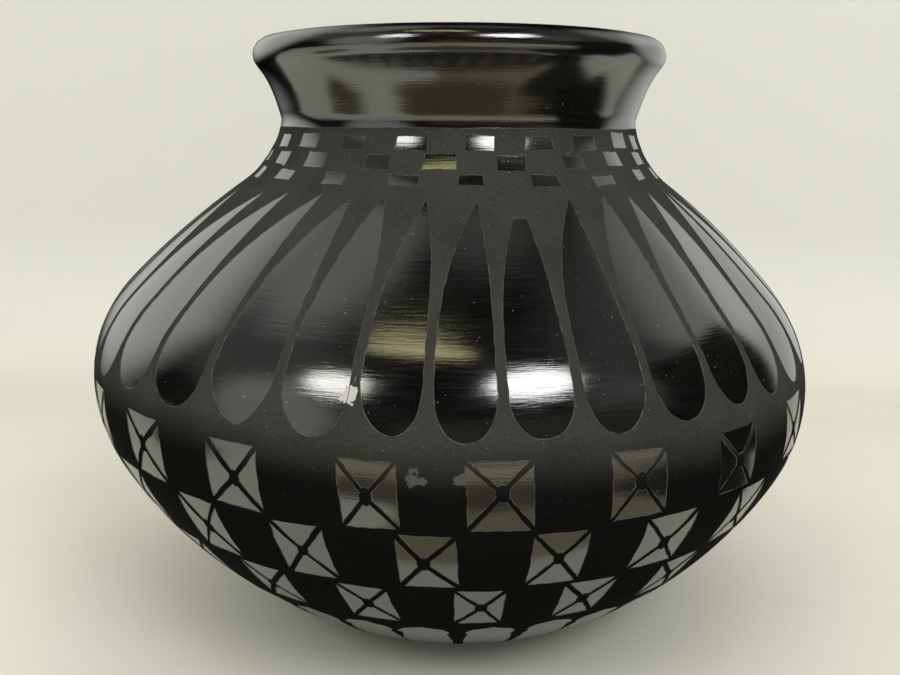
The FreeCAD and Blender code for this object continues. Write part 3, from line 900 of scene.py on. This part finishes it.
def pale_paper():
    """Warm white paper, seen through from behind so that any view stays open."""
    look = Nodes("pale_paper")
    mottled = look.noise((9, 9, 9), detail=5)
    floor = look.mix(look.ramp(mottled, 0.35, 0.7), (0.80, 0.79, 0.715), (0.75, 0.735, 0.66))
    coordinates = look.add("ShaderNodeTexCoord")
    upright = look.add("ShaderNodeSeparateXYZ")
    look.link(coordinates.outputs["Object"], upright.inputs["Vector"])
    rising = look.ramp(upright.outputs["Z"], 0.0, 0.06)
    look.link(look.mix(rising, floor, (0.76, 0.76, 0.725)), look.shader.inputs["Base Color"])
    look.shader.inputs["Roughness"].default_value = 0.75
    look.shader.inputs["Specular IOR Level"].default_value = 0.15
    facing = look.add("ShaderNodeNewGeometry")
    clear = look.add("ShaderNodeBsdfTransparent")
    blend = look.add("ShaderNodeMixShader")
    look.link(facing.outputs["Backfacing"], blend.inputs["Fac"])
    look.link(look.shader.outputs["BSDF"], blend.inputs[1])
    look.link(clear.outputs["BSDF"], blend.inputs[2])
    look.link(blend.outputs["Shader"], look.tree.nodes["Material Output"].inputs["Surface"])
    return look.material


SWEEP_FRONT = -1.6
SWEEP_BACK = 0.33
SWEEP_CURVE = 0.09
SWEEP_BENDS = 16  # flat strips in the curve
SWEEP_TOP = 1.3
SWEEP_HALF_WIDTH = 1.8


def paper_strip(name, line, paper, mirrored):
    """A strip of paper as wide as the set, along a line of (y, z)."""
    points = [(side * SWEEP_HALF_WIDTH, y, z) for y, z in line for side in (-1, 1)]
    faces = [(2 * k, 2 * k + 1, 2 * k + 3, 2 * k + 2) for k in range(len(line) - 1)]
    mesh = bpy.data.meshes.new(name)
    mesh.from_pydata(points, [], faces)
    mesh.polygons.foreach_set("use_smooth", [True] * len(mesh.polygons))
    mesh.materials.append(paper)
    strip = bpy.data.objects.new(name, mesh)
    strip.visible_glossy = mirrored
    bpy.context.collection.objects.link(strip)


def make_sweep():
    """A floor that curves up into a wall behind the pot. The gloss sees the room past the wall."""
    paper = pale_paper()
    start = SWEEP_BACK - SWEEP_CURVE
    curve = []
    for step in range(SWEEP_BENDS + 1):
        turn = math.pi / 2 * step / SWEEP_BENDS
        curve.append((start + SWEEP_CURVE * math.sin(turn), SWEEP_CURVE * (1 - math.cos(turn))))
    paper_strip("floor", [(SWEEP_FRONT, 0.0), (start, 0.0)], paper, mirrored=True)
    paper_strip("wall", curve + [(SWEEP_BACK, SWEEP_TOP)], paper, mirrored=False)


def away_from_pot(azimuth, elevation):
    """The unit direction from the pot towards an azimuth and an elevation in degrees."""
    turn, rise = math.radians(azimuth), math.radians(elevation)
    return Vector((math.sin(turn) * math.cos(rise), -math.cos(turn) * math.cos(rise), math.sin(rise)))


LIT_PLACE = Vector((0, -0.08, 0.11))


def soft_light(name, azimuth, elevation, distance, size, watts, colour, mirrored=True):
    """An oval light aimed at the pot; a light that isn't mirrored leaves no highlight."""
    data = bpy.data.lights.new(name, "AREA")
    data.shape = "ELLIPSE"
    data.size, data.size_y = size
    data.energy = watts
    data.color = colour
    light = bpy.data.objects.new(name, data)
    away = away_from_pot(azimuth, elevation)
    light.location = LIT_PLACE + away * distance
    light.rotation_euler = away.to_track_quat("Z", "Y").to_euler()
    light.visible_glossy = mirrored
    light.visible_camera = False
    bpy.context.collection.objects.link(light)


CARD_LIFT = 0.0008  # metres above the floor that a lying card is
CARD_BENDS = 8  # flat strips in a curved standing card


def glossy_card(name, points, faces, shade, glow=0.0):
    """A card that only the gloss sees: a painted reflection, like the cards a photographer puts beside shiny
    ware, but casting no shadow.
    """
    mesh = bpy.data.meshes.new(name)
    mesh.from_pydata(points, [], faces)
    look = Nodes(name)
    look.shader.inputs["Base Color"].default_value = (shade, shade * 0.92, shade * 0.66, 1)
    look.shader.inputs["Roughness"].default_value = 0.9
    look.shader.inputs["Specular IOR Level"].default_value = 0.0
    # A card's glow, where given, is painted light that only the gloss sees.
    look.shader.inputs["Emission Color"].default_value = (1.0, 0.99, 0.90, 1)
    look.shader.inputs["Emission Strength"].default_value = glow
    mesh.materials.append(look.material)
    card = bpy.data.objects.new(name, mesh)
    card.visible_camera = False
    card.visible_diffuse = False
    card.visible_shadow = False
    bpy.context.collection.objects.link(card)


def standing_card(name, azimuths, distance, heights, shade):
    """A card curved round the pot, from one azimuth to another and between two heights."""
    points = []
    for step in range(CARD_BENDS + 1):
        turn = azimuths[0] + (azimuths[1] - azimuths[0]) * step / CARD_BENDS
        spot = away_from_pot(turn, 0) * distance
        points += [(spot.x, spot.y, height) for height in heights]
    faces = [(2 * k, 2 * k + 2, 2 * k + 3, 2 * k + 1) for k in range(CARD_BENDS)]
    glossy_card(name, points, faces, shade)


def lying_card(name, left, right, near, far, shade, glow=0.0):
    """A card flat on the floor between two x and two y."""
    points = [(x, y, CARD_LIFT) for x, y in ((left, far), (right, far), (right, near), (left, near))]
    glossy_card(name, points, [(0, 1, 2, 3)], shade, glow)


def make_cards():
    """Painted reflections low down, which only the gloss sees: a dark card at one side, one in front, and
    lying cards for the floor's mirrored tones.
    """
    # Dark cards that only the gloss sees: painted dark reflections.
    standing_card("painted_dark_reflection_beside", (58, 97), 0.30, (0.001, 0.26), 0.01)
    standing_card("painted_dark_reflection_in_front", (-14, 58), 0.80, (0.095, 0.36), 0.08)
    # Lying cards: painted reflections of the floor, lighter and darker in patches, with painted shade near
    # the pot.
    lying_card("painted_floor_reflection_near", -0.04, 0.16, -0.115, -0.22, 0.36)
    lying_card("painted_floor_reflection_middle", -0.18, 0.16, -0.22, -0.42, 0.12)
    lying_card("painted_floor_reflection_far", -0.50, 0.60, -0.42, -1.55, 0.60)
    lying_card("painted_floor_reflection_right", 0.16, 0.60, -0.25, -0.42, 0.30)
    lying_card("painted_floor_reflection_beside", 0.16, 0.60, -0.03, -0.25, 0.02)
    lying_card("painted_floor_reflection_left", -0.42, -0.28, -0.05, -0.20, 0.12)
    # A glowing card, though no lamp: painted light in the mirrored floor behind the pot, where that floor is
    # in shade.
    lying_card("painted_glow_reflection_behind", -0.13, 0.13, 0.26, 0.02, 0.70, glow=0.16)


def make_lights():
    """An unseen light overhead, two windows and a long warm lamp."""
    soft_light("overhead", 0, 68, 1.5, (2.0, 2.0), 8.8, (1.0, 0.99, 0.955), mirrored=False)
    soft_light("window_left", -38, 38, 1.2, (0.36, 0.28), 1.7, (1.0, 0.985, 0.91))
    soft_light("window_right", 32, 41, 1.2, (0.56, 0.40), 4.2, (1.0, 0.995, 0.99))
    soft_light("lamp", -18, 67, 1.2, (0.58, 0.17), 0.55, (1.0, 0.95, 0.52))


# What the pot mirrors of the room: azimuth, elevation, inner and outer angle, strength.
PALE_PLACES = ((-132, 22, 14, 37, 1.15), (-111, 65, 7, 21, 0.52), (150, 79, 4, 16, 0.18),
               (-76, 42, 8, 30, 0.16), (-52, 14, 12, 26, 0.58), (136, 8, 14, 34, 0.92),
               (120, 34, 8, 26, 0.5), (88, 42, 8, 34, 0.12), (57, 23, 5, 18, 0.16))
DIM_CEILING = 0.001
PALE_BACKDROP = 0.72
SOFT_FILL = 0.57  # what lights dull surfaces from all round


def pale_room(tree):
    """Strength of the mirrored room by direction: a soft round patch for each pale place."""
    coordinates = tree.nodes.new("ShaderNodeTexCoord")
    total = None
    for azimuth, elevation, inner, outer, strength in PALE_PLACES:
        towards = tree.nodes.new("ShaderNodeVectorMath")
        towards.operation = "DOT_PRODUCT"
        tree.links.new(coordinates.outputs["Generated"], towards.inputs[0])
        towards.inputs[1].default_value = away_from_pot(azimuth, elevation)
        pale = tree.nodes.new("ShaderNodeMapRange")
        pale.interpolation_type = "SMOOTHSTEP"
        pale.inputs["From Min"].default_value = math.cos(math.radians(outer))
        pale.inputs["From Max"].default_value = math.cos(math.radians(inner))
        pale.inputs["To Max"].default_value = strength
        tree.links.new(towards.outputs["Value"], pale.inputs["Value"])
        added = tree.nodes.new("ShaderNodeMath")
        added.operation = "ADD"
        tree.links.new(pale.outputs["Result"], added.inputs[0])
        added.inputs[1].default_value = DIM_CEILING
        if total:
            tree.links.new(total, added.inputs[1])
        total = added.outputs[0]
    return total


def except_for(tree, rays, value, otherwise):
    """A value for one kind of ray, and an output for all the others."""
    path = tree.nodes.new("ShaderNodeLightPath")
    chosen = tree.nodes.new("ShaderNodeMix")
    tree.links.new(path.outputs[rays], chosen.inputs[0])
    tree.links.new(otherwise, chosen.inputs[2])
    chosen.inputs[3].default_value = value
    return chosen.outputs[0]


def make_room():
    """The room that the pot mirrors, pale at the back and sides and dim above and in front."""
    world = bpy.data.worlds.new("room")
    bpy.context.scene.world = world
    world.use_nodes = True
    tree = world.node_tree
    background = tree.nodes["Background"]
    strength = except_for(tree, "Is Camera Ray", PALE_BACKDROP, pale_room(tree))
    strength = except_for(tree, "Is Diffuse Ray", SOFT_FILL, strength)
    tree.links.new(strength, background.inputs["Strength"])
    background.inputs["Color"].default_value = (0.99, 1.0, 0.93, 1)
    bpy.context.scene.view_settings.view_transform = "Standard"


make_camera()
make_sweep()
make_cards()
make_lights()
make_room()
